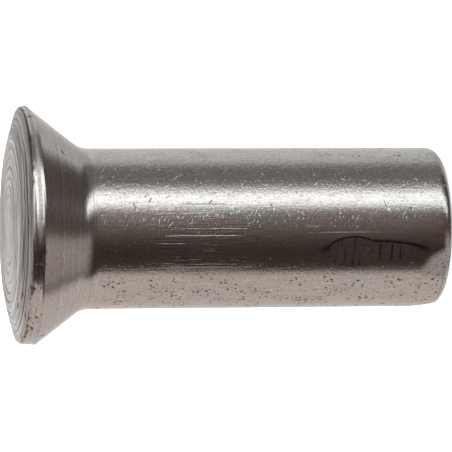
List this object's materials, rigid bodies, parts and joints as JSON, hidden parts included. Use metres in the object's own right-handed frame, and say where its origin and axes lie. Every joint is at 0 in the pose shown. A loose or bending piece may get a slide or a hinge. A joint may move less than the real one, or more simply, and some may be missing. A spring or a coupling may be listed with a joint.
{
  "type": "countersunk rivet",
  "caption": "Solid countersunk rivet: a round steel shank under a conical head with a low crown, set by hammering its free end over.",
  "frame": {"origin": "middle of the sheared end face, on the shank's axis", "axes": "+Z along the shank's axis towards the head, +X the way the head was struck off centre, -Y the side nearest the cutter mark"},
  "size_m": [0.0178, 0.0178, 0.0327],
  "materials": {
    "rivet_steel": "bare drawn and cold headed steel, dulled, with fine scratches and small dark pits"
  },
  "bodies": {
    "root": {"rivet": "rivet_steel"}
  },
  "joints": []
}
